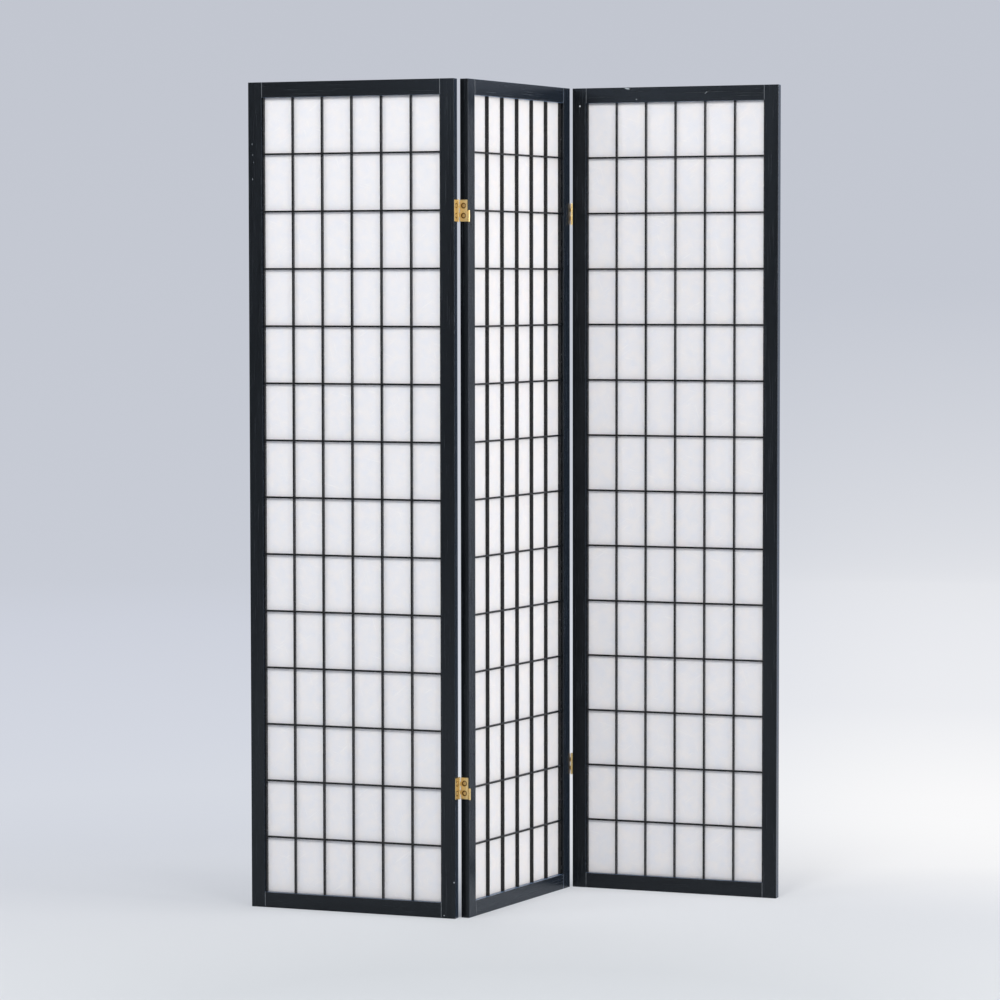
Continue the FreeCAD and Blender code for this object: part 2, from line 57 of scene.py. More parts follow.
PAINT_BLACK, PAINT_SLATE, PAINT_RUBBED_AND_HIGHLIT = "#070809", "#101214", "#33363a"
PAINT_ROUGHNESS = {"To Min": 0.17, "To Max": 0.28}
RING_SPACING, RING_LENGTH = 0.011, 18  # growth rings, and how many times longer than wide they are
PORE_WIDTH, PORE_LENGTH = 0.0022, 40  # real pores are 0.3 mm wide, drawn wider to show
PEEL_SIZE = 0.006  # the spray's orange peel
RING_LEVELS = {"From Min": 0.35, "From Max": 0.68}  # noise, from where it shows to where it is full
PORE_LEVELS = {"From Min": 0.60, "From Max": 0.74}
ARRIS_RADIUS = 0.0009
ARRIS_RUBBED_AND_HIGHLIT, PORE_RUBBED = 0.5, 0.35  # share of the rubbed colour there; on the arris it is worn paint with a painted highlight
WEAR_AND_HIGHLIGHT_DEPTH = 0.0016  # how far from the arris the worn paint and painted highlight fade out
WEAR_AND_HIGHLIGHT_LEVELS = {"From Min": WEAR_AND_HIGHLIGHT_DEPTH, "From Max": 0.0005}

SEAM_PLACE = 0.207  # a rail's shoulder from its middle, where it butts against the stile
# a rail's seam: a dark gap, and beside it a pale ridge that is a painted highlight
SEAM_RIDGE_HIGHLIGHT, SEAM_DARK = "#a4aab0", "#020202"
RIDGE_HIGHLIGHT_LEVELS = {"From Min": SEAM_PLACE - 0.0022, "From Max": SEAM_PLACE - 0.0008}
GAP_LEVELS = {"From Min": SEAM_PLACE - 0.0010, "From Max": SEAM_PLACE - 0.0004}
SPECK_SPACING, SPECK_RADIUS, SPECK_RARITY, SPECK_GREY = 0.014, 0.0009, 0.9, "#6e7478"
SPECK_LEVELS = {"From Min": SPECK_RADIUS / SPECK_SPACING,
                "From Max": 0.4 * SPECK_RADIUS / SPECK_SPACING}
CHIP_REACH, CHIP_RAGGED = 0.003, 0.6  # how deep a chip's ellipse goes, and how uneven its edge is
CHIP_LEVELS = {"From Min": 1.4, "From Max": 1.0}  # in half sizes of the ellipse

# Each chip is (across the face, along the grain, half size across, half size along, slant, colour)
# from the middle of its piece.  Bare primer is pale, a deep scratch is dark, and a filled nail hole
# is a pale dot in a dark ring.
CHIPS = {
    "right_panel_top_rail": [
        (-0.0138, -0.109, 0.0016, 0.0062, 0.2, "#9aa1a6"),
        (-0.0122, -0.101, 0.0016, 0.0034, 0.2, "#020202"),
        (0.0102, -0.088, 0.0013, 0.0018, 0.0, "#8b9196"),
        (-0.0040, 0.0753, 0.0016, 0.0070, -0.7, "#020202"),
        (-0.0020, 0.0730, 0.0009, 0.0040, -0.7, "#7a8186")],
    "right_panel_left_stile": [
        (0.0020, 0.8524, 0.0031, 0.0031, 0.0, "#030303"),
        (0.0020, 0.8526, 0.0017, 0.0017, 0.0, "#dfe4e8")],
    "left_panel_right_stile": [
        (0.0130, -0.814, 0.0012, 0.0016, 0.0, "#b9bfc4"),
        (-0.0100, -0.886, 0.0012, 0.0012, 0.0, "#a3a9ae")],
    "left_panel_left_stile": [
        (-0.0060, 0.760, 0.0010, 0.0018, 0.0, "#6b7176"),
        (-0.0048, 0.737, 0.0009, 0.0016, 0.0, "#6b7176"),
        (-0.0030, 0.721, 0.0009, 0.0014, 0.0, "#5f656a"),
        (-0.0055, 0.685, 0.0010, 0.0020, 0.0, "#757b80")],
}


def linear(code):
    """RGBA of an sRGB hex code: c / 12.92 up to 0.04045, else ((c + 0.055) / 1.055) ^ 2.4."""
    c = np.array([int(code[i:i + 2], 16) / 255 for i in (1, 3, 5)])
    return (*np.where(c <= 0.04045, c / 12.92, ((c + 0.055) / 1.055) ** 2.4), 1.0)


def add(tree, kind, inputs=(), **settings):
    """A new node of the tree with its settings.

    inputs maps a socket to a value, to another node's output, or to a node, for its first output.
    """
    node = tree.nodes.new("ShaderNode" + kind)
    for name, value in settings.items():
        setattr(node, name, value)
    for socket, value in dict(inputs).items():
        if isinstance(value, bpy.types.Node):
            value = value.outputs[0]
        if isinstance(value, bpy.types.NodeSocket):
            tree.links.new(value, node.inputs[socket])
        else:
            node.inputs[socket].default_value = value
    return node


def new_material(name):
    """An empty material and its node tree."""
    material = bpy.data.materials.new(name)
    material.use_nodes = True
    material.node_tree.nodes.clear()
    return material, material.node_tree


def centre_of(*names):
    """Middle of the boxes of some nodes: the mean of their lowest and highest corners."""
    corners = [np.array(corner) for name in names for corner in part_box(name)]
    return np.mean(corners, axis=0)


def set_material(name, material):
    """Every slot of a CAD node's object gets the material."""
    for slot in nodes[name].material_slots:
        slot.material = material


def own_coordinates(tree, centre, turn, lying=False):
    """A piece's own coordinates: 0 at its centre, z with the grain, x across its face, y its depth.

    The grain runs up the panel, or across it where the piece is lying.
    """
    where = add(tree, "TexCoord").outputs["Object"]
    return add(tree, "Mapping", {"Vector": where, "Location": tuple(centre),
                                 "Rotation": (0, np.pi / 2 if lying else 0, turn)},
               vector_type="TEXTURE")


def satin_black(name, centre, turn, lying, half_face, seed, chips=()):
    """Sprayed satin black on softwood: the paint's layers of colour, and the relief under them.

    In the piece's own coordinates, the distance to the nearest arris is the greater of
    half face - |x| and half depth - |y|, and the rubbed colour, worn paint with a painted
    highlight, fades out over it, broken up by noise.  On a rail a seam lies where |z| nears the
    shoulder: a dark gap with a pale ridge beside it, a painted highlight.  A speck is the middle
    of one noise cell in ten.  A chip is an ellipse on the front: the length of (p - place) / half
    size.
    """
    material, tree = new_material(name)
    own = own_coordinates(tree, centre, turn, lying)
    long_grain = add(tree, "VectorMath", {0: own, 1: (1, 1, 1 / RING_LENGTH)}, operation="MULTIPLY")
    fine_grain = add(tree, "VectorMath", {0: own, 1: (1, 1, 1 / PORE_LENGTH)}, operation="MULTIPLY")
    rings = add(tree, "TexNoise", {"Vector": long_grain, "W": seed, "Scale": 1 / RING_SPACING,
                                   "Detail": 3.0, "Distortion": 0.4}, noise_dimensions="4D")
    pores = add(tree, "TexNoise", {"Vector": fine_grain, "W": seed, "Scale": 1 / PORE_WIDTH,
                                   "Detail": 2.0}, noise_dimensions="4D")
    peel = add(tree, "TexNoise", {"Vector": own, "W": seed, "Scale": 1 / PEEL_SIZE,
                                  "Detail": 2.0}, noise_dimensions="4D")
    open_pores = add(tree, "MapRange", {"Value": pores, **PORE_LEVELS})
    tone = add(tree, "MapRange", {"Value": rings, **RING_LEVELS})

    place = add(tree, "SeparateXYZ", {0: own}).outputs
    inwards = []
    for axis, half in enumerate((half_face, FRAME_DEPTH / 2)):
        aside = add(tree, "Math", {0: place[axis]}, operation="ABSOLUTE")
        inwards.append(add(tree, "Math", {0: half, 1: aside}, operation="SUBTRACT"))
    from_arris = add(tree, "Math", {0: inwards[0], 1: inwards[1]}, operation="MAXIMUM")
    # the arris is drawn paler: worn paint, and a painted highlight along the rounded edge
    ragged = add(tree, "Math", {0: peel, 1: WEAR_AND_HIGHLIGHT_DEPTH, 2: from_arris}, operation="MULTIPLY_ADD")
    wear_and_highlight = add(tree, "MapRange", {"Value": ragged, **WEAR_AND_HIGHLIGHT_LEVELS})
    rubbed_and_highlit_arris = add(tree, "Math", {0: wear_and_highlight, 1: ARRIS_RUBBED_AND_HIGHLIT}, operation="MULTIPLY")
    rubbed_pores = add(tree, "Math", {0: open_pores, 1: PORE_RUBBED}, operation="MULTIPLY")
    layers = [(tone, PAINT_SLATE), (rubbed_and_highlit_arris, PAINT_RUBBED_AND_HIGHLIT), (rubbed_pores, PAINT_RUBBED_AND_HIGHLIT)]
    heights = [(rings, 0.35), (peel, 0.15), (open_pores, -0.5)]

    if lying:
        along = add(tree, "Math", {0: place[2]}, operation="ABSOLUTE")
        # the pale band beside the seam is a painted highlight
        highlight_band = add(tree, "MapRange", {"Value": along, **RIDGE_HIGHLIGHT_LEVELS})
        ridge_highlight = add(tree, "Math", {0: highlight_band, 1: peel}, operation="MULTIPLY")
        gap = add(tree, "MapRange", {"Value": along, **GAP_LEVELS})
        layers += [(ridge_highlight, SEAM_RIDGE_HIGHLIGHT), (gap, SEAM_DARK)]
        heights.append((gap, -2.0))

    dust = add(tree, "TexVoronoi", {"Vector": own, "W": seed, "Scale": 1 / SPECK_SPACING},
               voronoi_dimensions="4D").outputs
    near = add(tree, "MapRange", {"Value": dust["Distance"], **SPECK_LEVELS})
    draw = add(tree, "SeparateXYZ", {0: dust["Color"]})
    chosen = add(tree, "Math", {0: draw, 1: SPECK_RARITY}, operation="GREATER_THAN")
    layers.append((add(tree, "Math", {0: near, 1: chosen}, operation="MULTIPLY"), SPECK_GREY))

    for x, z, wide, long, slant, code in chips:
        local = add(tree, "Mapping", {"Vector": own, "Location": (x, -FRAME_DEPTH / 2, z),
                                      "Rotation": (0, slant, 0), "Scale": (wide, CHIP_REACH, long)},
                    vector_type="TEXTURE")
        away = add(tree, "VectorMath", {0: local}, operation="LENGTH").outputs["Value"]
        uneven = add(tree, "Math", {0: peel, 1: CHIP_RAGGED, 2: away}, operation="MULTIPLY_ADD")
        dent = add(tree, "MapRange", {"Value": uneven, **CHIP_LEVELS})
        layers.append((dent, code))
        heights.append((dent, -1.5))

    paint, relief = linear(PAINT_BLACK), 0.0
    for share, code in layers:
        paint = add(tree, "Mix", {0: share, 6: paint, 7: linear(code)}, data_type="RGBA").outputs[2]
    for pattern, amount in heights:
        relief = add(tree, "Math", {0: pattern, 1: amount, 2: relief}, operation="MULTIPLY_ADD")
    rough = add(tree, "MapRange", {"Value": peel, **PAINT_ROUGHNESS})
    rough = add(tree, "Math", {0: open_pores, 1: 0.15, 2: rough}, operation="MULTIPLY_ADD")
    rounded = add(tree, "Bevel", {"Radius": ARRIS_RADIUS}, samples=6)
    bump = add(tree, "Bump", {"Height": relief, "Strength": 0.5, "Distance": 0.0004,
                              "Normal": rounded})
    skin = add(tree, "BsdfPrincipled", {
        "Base Color": paint, "Roughness": rough, "Normal": bump,
        "IOR": 1.5, "Specular IOR Level": 0.34, "Specular Tint": linear("#e6f2ff"),
        "Sheen Weight": 0.7, "Sheen Roughness": 0.32, "Sheen Tint": linear("#97b6e0")})
    add(tree, "OutputMaterial", {"Surface": skin})
    return material


for seed, panel in enumerate(TURNS):
    for number, piece in enumerate(("left_stile", "right_stile", "top_rail", "bottom_rail")):
        node = f"{panel}_panel_{piece}"
        lying = piece.endswith("rail")
        half_face = (RAIL_FACE if lying else STILE_FACE) / 2
        set_material(node, satin_black(f"satin_black_{node}", centre_of(node), TURNS[panel], lying,
                                       half_face, 4.7 * seed + 1.3 * number, CHIPS.get(node, ())))


# ---- Lattice -----------------------------------------------------------------------------------
# Thin softwood slats, half-lapped where they cross and let into the frame.  They are dipped in
# the same black, a little rougher; only the long grain shows on faces this narrow.
SLAT_BLACK, SLAT_SLATE = "#060607", "#0e0f11"
SLAT_GRAIN, SLAT_GRAIN_LENGTH, DRIP_SIZE = 0.0018, 30, 1 / 45
SLAT_GRAIN_LEVELS = {"From Min": 0.35, "From Max": 0.70}
DRIP_ROUGHNESS = {"From Min": 0.3, "From Max": 0.7, "To Min": 0.20, "To Max": 0.32}


def dipped_black(name, centre, turn, lying, seed):
    """Dipped satin black on thin slats: the grain tones the colour, slow drips the roughness."""
    material, tree = new_material(name)
    own = own_coordinates(tree, centre, turn, lying)
    long_grain = add(tree, "VectorMath", {0: own, 1: (1, 1, 1 / SLAT_GRAIN_LENGTH)},
                     operation="MULTIPLY")
    grain = add(tree, "TexNoise", {"Vector": long_grain, "W": seed, "Scale": 1 / SLAT_GRAIN,
                                   "Detail": 3.0}, noise_dimensions="4D")
    drips = add(tree, "TexNoise", {"Vector": own, "W": seed, "Scale": 1 / DRIP_SIZE,
                                   "Detail": 1.0}, noise_dimensions="4D")
    tone = add(tree, "MapRange", {"Value": grain, **SLAT_GRAIN_LEVELS})
    paint = add(tree, "Mix", {0: tone, 6: linear(SLAT_BLACK), 7: linear(SLAT_SLATE)},
                data_type="RGBA").outputs[2]
    rough = add(tree, "MapRange", {"Value": drips, **DRIP_ROUGHNESS})
    bump = add(tree, "Bump", {"Height": grain, "Strength": 0.35, "Distance": 0.0003})
    skin = add(tree, "BsdfPrincipled", {
        "Base Color": paint, "Roughness": rough, "Normal": bump,
        "IOR": 1.5, "Specular IOR Level": 0.36,
        "Sheen Weight": 0.2, "Sheen Roughness": 0.3, "Sheen Tint": linear("#a9c2e0")})
    add(tree, "OutputMaterial", {"Surface": skin})
    return material


for seed, panel in enumerate(TURNS):
    for number, piece in enumerate(("left_edge_slat", "right_edge_slat",
                                    "upright_slats", "cross_slats")):
        node = f"{panel}_panel_{piece}"
        set_material(node, dipped_black(f"dipped_black_{node}", centre_of(node), TURNS[panel],
                                        piece == "cross_slats", 3.1 * seed + 0.9 * number))


# ---- Paper -------------------------------------------------------------------------------------
# One sheet of fibre-reinforced white paper a panel, in a groove of the frame and glued to the
# upright slats.  It is matt and lets light through; between the slats it has dried slightly
# cockled, with faint long fibres.
PANEL_WIDTH, PANEL_HEIGHT, COLUMNS = 0.476, 1.784, 6
PAPER_THICKNESS, PAPER_FRONT, PAPER_MARGIN = 0.0005, 0.0123, 0.0035
SHEET_GRID = 73, 241  # vertices across and up
COCKLE, WAVES, WAVE_PITCH, WAVE_HEIGHT = 0.00035, 4, (5, 19), 2.2  # cockle: bulge between slats

PAPER_WHITE, PAPER_COOL, PAPER_FIBRE = "#f5f3f3", "#eff0f4", "#fbfaf9"
PULP_SIZE, PULP_LEVELS = 0.022, {"From Min": 0.35, "From Max": 0.65}
FIBRE_SIZE, FIBRE_LENGTH, FIBRE_ANGLES = 0.003, 14, (0.3, 1.3, 2.2)  # drawn coarser than real ones
FIBRE_LEVELS, FIBRE_SHARE = {"From Min": 0.66, "From Max": 0.76}, 0.6
SEE_THROUGH = 0.28  # share of the light that the paper lets through


def cockled_sheet(name, panel, seed):
    """The panel's paper as a grid over (u, v), u across and v up the sheet, both 0 to 1.

    In the panel's own frame x = (u - 1/2) * width, z = (v - 1/2) * height, and the depth is
    y = paper's middle + cockle * sin(pi * columns * u')^2 * sin(pi * v')^(1/4) * swell(v'),
    where u' and v' run 0 to 1 over the clear opening and stay there in the frame's groove, and
    swell(v') = sum over k = 1..4 of sin(k * pitch * v' + phase) / 2.2, drawn anew for each column.
    """
    rng = np.random.default_rng(seed)
    clear_width, clear_height = PANEL_WIDTH - 2 * STILE_FACE, PANEL_HEIGHT - 2 * RAIL_FACE
    width, height = clear_width + 2 * PAPER_MARGIN, clear_height + 2 * PAPER_MARGIN
    across, up = SHEET_GRID
    u, v = np.meshgrid(np.linspace(0, 1, across), np.linspace(0, 1, up))
    x, z = (u - 0.5) * width, (v - 0.5) * height
    inside = np.clip(x / clear_width + 0.5, 0, 1)
    risen = np.clip(z / clear_height + 0.5, 0, 1)
    cell = np.minimum((inside * COLUMNS).astype(int), COLUMNS - 1)
    waves = np.arange(1, WAVES + 1)[:, None, None]
    phase = rng.uniform(0, 2 * np.pi, (WAVES, COLUMNS))
    pitch = rng.uniform(*WAVE_PITCH, (WAVES, COLUMNS))
    swell = np.sin(pitch[:, cell] * risen * waves + phase[:, cell]).sum(0) / WAVE_HEIGHT
    bulge = np.sin(np.pi * COLUMNS * inside) ** 2 * np.sin(np.pi * risen) ** 0.25 * swell
    depth = PAPER_FRONT + PAPER_THICKNESS / 2 - FRAME_DEPTH / 2 + COCKLE * bulge
    turn = TURNS[panel]
    middle = centre_of(f"{panel}_panel_left_stile", f"{panel}_panel_right_stile")
    places = np.stack([middle[0] + x * np.cos(turn) - depth * np.sin(turn),
                       middle[1] + x * np.sin(turn) + depth * np.cos(turn),
                       middle[2] + z], -1).reshape(-1, 3)
    first = (np.arange(up - 1)[:, None] * across + np.arange(across - 1)).ravel()
    faces = np.stack([first, first + 1, first + across + 1, first + across], 1)
    mesh = bpy.data.meshes.new(name)
    mesh.from_pydata(places, [], faces.tolist())
    mesh.shade_smooth()
    piece = bpy.data.objects.new(name, mesh)
    bpy.context.scene.collection.objects.link(piece)
    wall = piece.modifiers.new("thickness", "SOLIDIFY")
    wall.thickness, wall.offset = PAPER_THICKNESS, 0
    return piece


def shoji_paper(name, centre, turn, seed):
    """Matt paper: cloudy pulp, long pale fibres in three directions, and light from behind."""
    material, tree = new_material(name)
    own = own_coordinates(tree, centre, turn)
    pulp = add(tree, "TexNoise", {"Vector": own, "W": seed, "Scale": 1 / PULP_SIZE, "Detail": 5.0,
                                  "Roughness": 0.6}, noise_dimensions="4D")
    fibres = 0.0
    for angle in FIBRE_ANGLES:
        turned = add(tree, "Mapping", {"Vector": own, "Rotation": (0, angle, 0)})
        drawn_out = add(tree, "VectorMath", {0: turned, 1: (1, 1, 1 / FIBRE_LENGTH)},
                        operation="MULTIPLY")
        strands = add(tree, "TexNoise", {"Vector": drawn_out, "W": seed + angle,
                                         "Scale": 1 / FIBRE_SIZE, "Detail": 1.0, "Distortion": 0.8},
                      noise_dimensions="4D")
        layer = add(tree, "MapRange", {"Value": strands, **FIBRE_LEVELS})
        fibres = add(tree, "Math", {0: fibres, 1: layer}, operation="MAXIMUM")
    cloud = add(tree, "MapRange", {"Value": pulp, **PULP_LEVELS})
    pale = add(tree, "Math", {0: fibres, 1: FIBRE_SHARE}, operation="MULTIPLY")
    white = linear(PAPER_COOL)
    for share, code in ((cloud, PAPER_WHITE), (pale, PAPER_FIBRE)):
        white = add(tree, "Mix", {0: share, 6: white, 7: linear(code)}, data_type="RGBA").outputs[2]
    height = add(tree, "Math", {0: fibres, 1: 0.3, 2: pulp}, operation="MULTIPLY_ADD")
    bump = add(tree, "Bump", {"Height": height, "Strength": 0.25, "Distance": 0.0003})
    matt = add(tree, "BsdfPrincipled", {"Base Color": white, "Roughness": 0.85, "Normal": bump,
                                        "IOR": 1.45, "Specular IOR Level": 0.3})
    through = add(tree, "BsdfTranslucent", {"Color": white, "Normal": bump})
    both = add(tree, "MixShader", {0: SEE_THROUGH, 1: matt, 2: through})
    add(tree, "OutputMaterial", {"Surface": both})
    return material


for seed, panel in enumerate(TURNS):
    sheet = cockled_sheet(f"{panel}_panel_shoji_paper", panel, 20 + seed)
    sheet.data.materials.append(shoji_paper(
        f"shoji_paper_{panel}", centre_of(f"{panel}_panel_paper"), TURNS[panel], 6.3 * seed))
    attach(sheet, f"{panel}_panel")
    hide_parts(f"{panel}_panel_paper")


# ---- Hinges ------------------------------------------------------------------------------------
# Double-acting hinges: three stamped brass leaves with rolled knuckles, bright brass plated and
# lacquered.  The plate is brushed along its height and browner in spots; the dark brown round the
# screw heads is tarnish with painted shade of the recesses.
BRASS_LIGHT, BRASS_DEEP, BRASS_BROWN = "#f2ddaa", "#e2bf79", "#6c4818"
BRUSH_LENGTH, STAIN_SIZE = 14, 1 / 240
STAIN_LEVELS = {"From Min": 0.56, "From Max": 0.74}
BRUSH_LEVELS, BRUSH_ROUGHER = {"From Min": 0.3, "From Max": 0.7}, 0.12
HINGE_MIDDLE, SCREW_OFFSET = 0.614, 0.0105  # from the panel's mid height, from the hinge's middle
TARNISH_AND_SHADE_LEVELS = {"From Min": 0.0070, "From Max": 0.0050}  # distance from a screw's axis; tarnish, and painted shade of the recess


def brushed_brass(name, seed, brush, rough, spots, centre=(0, 0, 0), turn=0, ringed=False):
    """Brass with lines of brush metres along z and brown spots, as strong as spots says.

    Where it is ringed, the plate is darkened brown round the screws of the panel with that centre
    and turn, tarnish and painted shade of the recesses: the distance from a screw's axis is the
    root of y^2 + v^2, and v = ||abs(z) - hinge middle| - screw offset| in the panel's own
    coordinates.
    """
    material, tree = new_material(name)
    own = own_coordinates(tree, centre, turn)
    drawn_out = add(tree, "VectorMath", {0: own, 1: (1, 1, 1 / BRUSH_LENGTH)}, operation="MULTIPLY")
    lines = add(tree, "TexNoise", {"Vector": drawn_out, "W": seed, "Scale": 1 / brush,
                                   "Detail": 3.0}, noise_dimensions="4D")
    stains = add(tree, "TexNoise", {"Vector": own, "W": seed + 2, "Scale": 1 / STAIN_SIZE,
                                    "Detail": 4.0, "Roughness": 0.65}, noise_dimensions="4D")
    stains_and_ring_shade = add(tree, "MapRange", {"Value": stains, **STAIN_LEVELS, "To Max": spots})
    # round each screw the plate is darkened: tarnish, and painted shade of the recess
    if ringed:
        place = add(tree, "SeparateXYZ", {0: own}).outputs
        height = add(tree, "Math", {0: place[2]}, operation="ABSOLUTE")
        for step in (HINGE_MIDDLE, SCREW_OFFSET):
            height = add(tree, "Math", {0: height, 1: step}, operation="SUBTRACT")
            height = add(tree, "Math", {0: height}, operation="ABSOLUTE")
        beside = add(tree, "CombineXYZ", {0: place[1], 1: height})
        away = add(tree, "VectorMath", {0: beside}, operation="LENGTH").outputs["Value"]
        tarnish_and_shade_ring = add(tree, "MapRange", {"Value": away, **TARNISH_AND_SHADE_LEVELS})
        stains_and_ring_shade = add(tree, "Math", {0: tarnish_and_shade_ring, 1: stains_and_ring_shade}, operation="MAXIMUM")
    gold = linear(BRASS_DEEP)
    for share, code in ((lines, BRASS_LIGHT), (stains_and_ring_shade, BRASS_BROWN)):
        gold = add(tree, "Mix", {0: share, 6: gold, 7: linear(code)}, data_type="RGBA").outputs[2]
    sheen = add(tree, "MapRange", {"Value": lines, **BRUSH_LEVELS, "To Min": rough,
                                   "To Max": rough + BRUSH_ROUGHER})
    sheen = add(tree, "Math", {0: stains_and_ring_shade, 1: 0.25, 2: sheen}, operation="MULTIPLY_ADD")
    bump = add(tree, "Bump", {"Height": lines, "Strength": 0.25, "Distance": 0.0001})
    metal = add(tree, "BsdfPrincipled", {"Base Color": gold, "Metallic": 1.0, "Roughness": sheen,
                                         "Normal": bump})
    add(tree, "OutputMaterial", {"Surface": metal})
    return material


plate_brass = {}
for seed, panel in enumerate(TURNS):
    middle = centre_of(f"{panel}_panel_left_stile", f"{panel}_panel_right_stile")
    plate_brass[panel] = brushed_brass(
        f"brushed_plate_brass_{panel}", seed=1.0 + seed, brush=0.0006, rough=0.28, spots=0.6,
        centre=middle, turn=TURNS[panel], ringed=True)
for joint in ("left", "right"):
    for level in ("upper", "lower"):
        for leaf, panel in (("middle_leaf", "middle"), ("link", "middle"), ("side_leaf", joint)):
            set_material(f"{joint}_{level}_hinge_{leaf}", plate_brass[panel])


# ---- Hinge pins --------------------------------------------------------------------------------
# Drawn brass wire through the knuckles, headed at both ends.  Drawing leaves it smoother than
# the plate, so it takes a sharper highlight.
wire_brass = brushed_brass("drawn_wire_brass", seed=5.0, brush=0.0004, rough=0.20, spots=0.3)
for joint in ("left", "right"):
    for level in ("upper", "lower"):
        for pin in ("swing_pin", "fold_pin"):
            set_material(f"{joint}_{level}_hinge_{pin}", wire_brass)


# ---- Hinge screws ------------------------------------------------------------------------------
# Two brass-plated wood screws a leaf with a cross recess.  The heads were turned and polished
# before plating, so they are shinier than the plate under them.
screw_brass = brushed_brass("polished_screw_brass", seed=9.0, brush=0.0005, rough=0.24, spots=0.2)
for panel in TURNS:
    set_material(f"{panel}_panel_hinge_screws", screw_brass)


# ---- Backdrop ----------------------------------------------------------------------------------
# A pale seamless bowl: floor, a wide curve, and a low wall all round, further out than any camera
# stands.  The floor takes the screen's soft shadow; further off, the blue-grey painted shade that
# darkens up the wall and the pale pool of light low on the right are painted on it, and the lit
# floor is painted paler away from the screen's front.
BOWL_MIDDLE, BOWL_FLOOR, BOWL_BEND, BOWL_TOP = -1.5, 10.6, 1.5, 3.6
FLOOR_RINGS, BEND_RINGS, WALL_RINGS, BOWL_SIDES = 79, 24, 12, 128

FLOOR_FRONT, FLOOR_BACK = "#d1d5d9", "#f1f3f6"  # the lit floor before and behind the screen; the paler one behind is painted light
FLOOR_LEVELS = {"From Min": -0.8, "From Max": 0.8}  # run over which the one gives way to the other
PAINTED_LEVELS = {"From Min": -0.9, "From Max": 1.5}  # and the lit floor to the painted one
BEHIND_LEVELS = {"From Min": -0.5, "From Max": 0.5}  # y over which painted light begins
RUN_LEVELS = {"From Min": -2.0, "From Max": 14.0}  # run at the two ends of the ramps below
BACKDROP_ENDS = "#dbdfe3", "#c2c6d0"
BACKDROP_STOPS = ((0.08, "#d9dde3"), (0.125, "#d4d8e0"), (0.19, "#d2d6df"), (0.25, "#d5d9e2"),
                  (0.31, "#d3d7e1"), (0.56, "#cdd1dc"), (0.725, "#c8ccd6"), (0.845, "#c4c8d2"),
                  (0.92, "#c2c6d0"))
POOL_STOPS = (0.10, 0.0), (0.15, 1.0), (0.24, 1.0), (0.375, 0.65), (0.69, 0.54), (0.83, 0.0)
POOL_WHITE, POOL_ASIDE, POOL_WIDTH = "#f9f9fa", 0.125, 0.10  # aside and width: tangents of angles
POOL_APEX = 8.27  # the pool widens away from the camera's place, as a beam of light does


def bowl(name):
    """Profile along s: out over the floor, a quarter circle, up the wall; turned once round Z.

    With a = angle on the bend, radius = floor + bend * sin(a) and z = bend * (1 - cos(a)).  The
    point at the middle is one vertex, joined to the first ring by triangles.  The attribute run
    is s + bowl's middle, which is y straight behind the screen.
    """
    a = np.linspace(0, np.pi / 2, BEND_RINGS + 1)[1:]
    radius = np.concatenate([np.linspace(0, BOWL_FLOOR, FLOOR_RINGS + 1)[1:],
                             BOWL_FLOOR + BOWL_BEND * np.sin(a),
                             np.full(WALL_RINGS, BOWL_FLOOR + BOWL_BEND)])
    z = np.concatenate([np.zeros(FLOOR_RINGS), BOWL_BEND * (1 - np.cos(a)),
                        np.linspace(BOWL_BEND, BOWL_TOP, WALL_RINGS + 1)[1:]])
    s = np.cumsum(np.hypot(np.diff(radius, prepend=0), np.diff(z, prepend=0)))
    around = 2 * np.pi * np.arange(BOWL_SIDES) / BOWL_SIDES
    rings = np.stack([radius[:, None] * np.cos(around),
                      BOWL_MIDDLE + radius[:, None] * np.sin(around),
                      np.broadcast_to(z[:, None], (len(z), BOWL_SIDES))], -1).reshape(-1, 3)
    first = np.arange((len(z) - 1) * BOWL_SIDES)
    beside = first - first % BOWL_SIDES + (first + 1) % BOWL_SIDES
    faces = np.stack([first, first + BOWL_SIDES, beside + BOWL_SIDES, beside], 1).tolist()
    inner = np.arange(BOWL_SIDES)
    faces += np.stack([np.full(BOWL_SIDES, len(rings)), inner, np.roll(inner, -1)], 1).tolist()
    mesh = bpy.data.meshes.new(name)
    mesh.from_pydata(np.vstack([rings, [0, BOWL_MIDDLE, 0]]), [], faces)
    mesh.shade_smooth()
    run = mesh.attributes.new("run", "FLOAT", "POINT")
    out = np.append(np.repeat(s, BOWL_SIDES), 0.0).astype(np.float32)
    run.data.foreach_set("value", out + BOWL_MIDDLE)
    piece = bpy.data.objects.new(name, mesh)
    bpy.context.scene.collection.objects.link(piece)
    return piece


